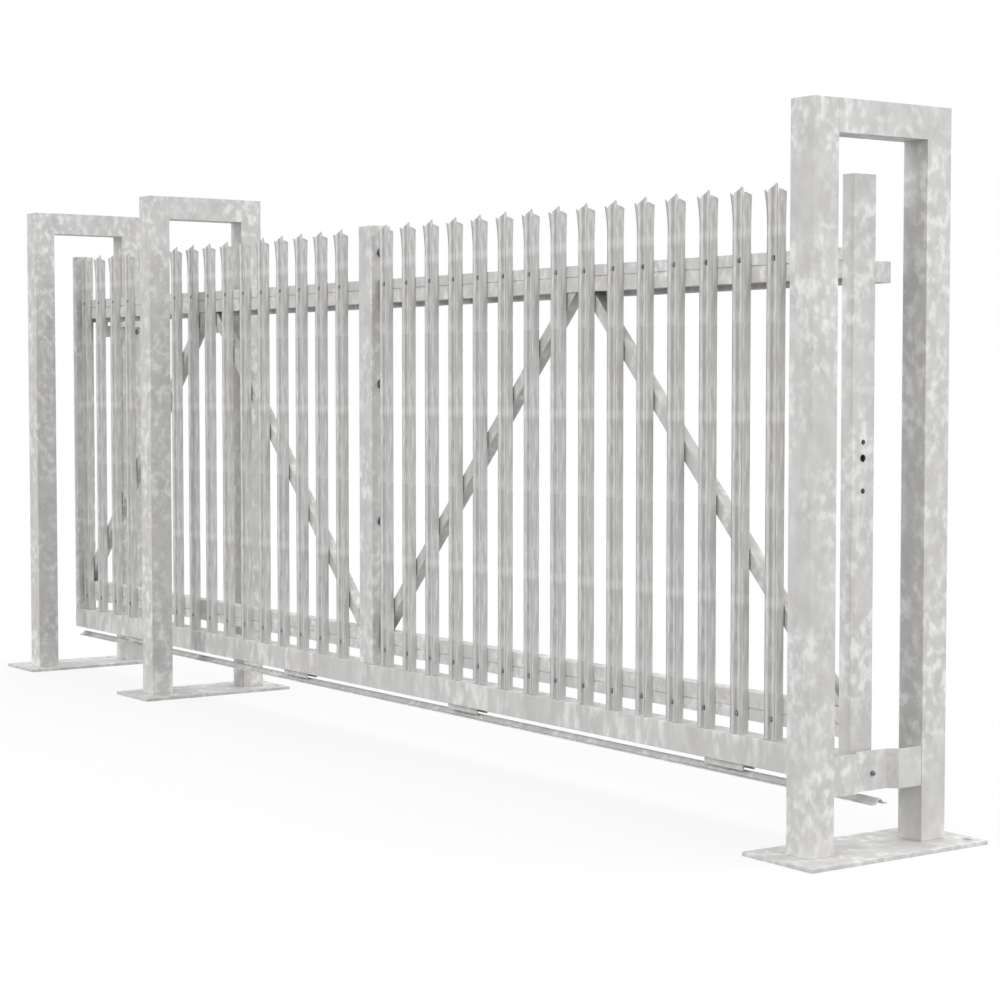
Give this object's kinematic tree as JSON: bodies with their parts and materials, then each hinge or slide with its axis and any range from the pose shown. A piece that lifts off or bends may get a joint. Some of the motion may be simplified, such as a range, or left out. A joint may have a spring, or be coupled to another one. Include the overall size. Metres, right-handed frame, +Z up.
{
  "type": "sliding driveway gate",
  "caption": "Galvanised palisade sliding gate: a two-module leaf with triple-point pales rolls on a ground track through goal-post portals on base plates.",
  "frame": {"origin": "middle of the underside of the middle portal's base plate", "axes": "+X along the gate towards the closing end, +Y away from the pale side, +Z up"},
  "size_m": [5.566, 0.692, 2.132],
  "materials": {
    "galvanised_steel": "hot-dip galvanised, matt with pale spangle",
    "wheel_steel": "turned steel",
    "roller_nylon": "plain nylon",
    "buffer_rubber": "moulded"
  },
  "bodies": {
    "frame": {"left_near_post": "galvanised_steel", "left_far_post": "galvanised_steel", "left_crossbar": "galvanised_steel", "left_base_plate": "galvanised_steel", "middle_near_post": "galvanised_steel", "middle_far_post": "galvanised_steel", "middle_crossbar": "galvanised_steel", "middle_base_plate": "galvanised_steel", "right_near_post": "galvanised_steel", "right_far_post": "galvanised_steel", "right_crossbar": "galvanised_steel", "right_base_plate": "galvanised_steel", "ground_track": "galvanised_steel", "stop_bracket": "galvanised_steel", "stop_buffer": "buffer_rubber", "left_guide_bracket": "galvanised_steel", "middle_guide_bracket": "galvanised_steel", "guide_rollers": "roller_nylon"},
    "leaf": {"bottom_beam": "galvanised_steel", "guide_rail": "galvanised_steel", "left_module_left_stile": "galvanised_steel", "left_module_right_stile": "galvanised_steel", "left_top_rail": "galvanised_steel", "left_bottom_rail": "galvanised_steel", "left_rising_brace": "galvanised_steel", "left_falling_brace": "galvanised_steel", "left_pales": "galvanised_steel", "right_module_left_stile": "galvanised_steel", "right_module_right_stile": "galvanised_steel", "right_top_rail": "galvanised_steel", "right_bottom_rail": "galvanised_steel", "right_rising_brace": "galvanised_steel", "right_falling_brace": "galvanised_steel", "right_pales": "galvanised_steel", "wheel_box_1": "galvanised_steel", "wheel_box_2": "galvanised_steel", "wheel_box_3": "galvanised_steel", "wheel_box_4": "galvanised_steel", "wheels": "wheel_steel"}
  },
  "joints": [
    {"name": "leaf_slide", "type": "slide", "parent": "frame", "child": "leaf", "axis": [-1, 0, 0], "range_m": [0, 4]}
  ]
}
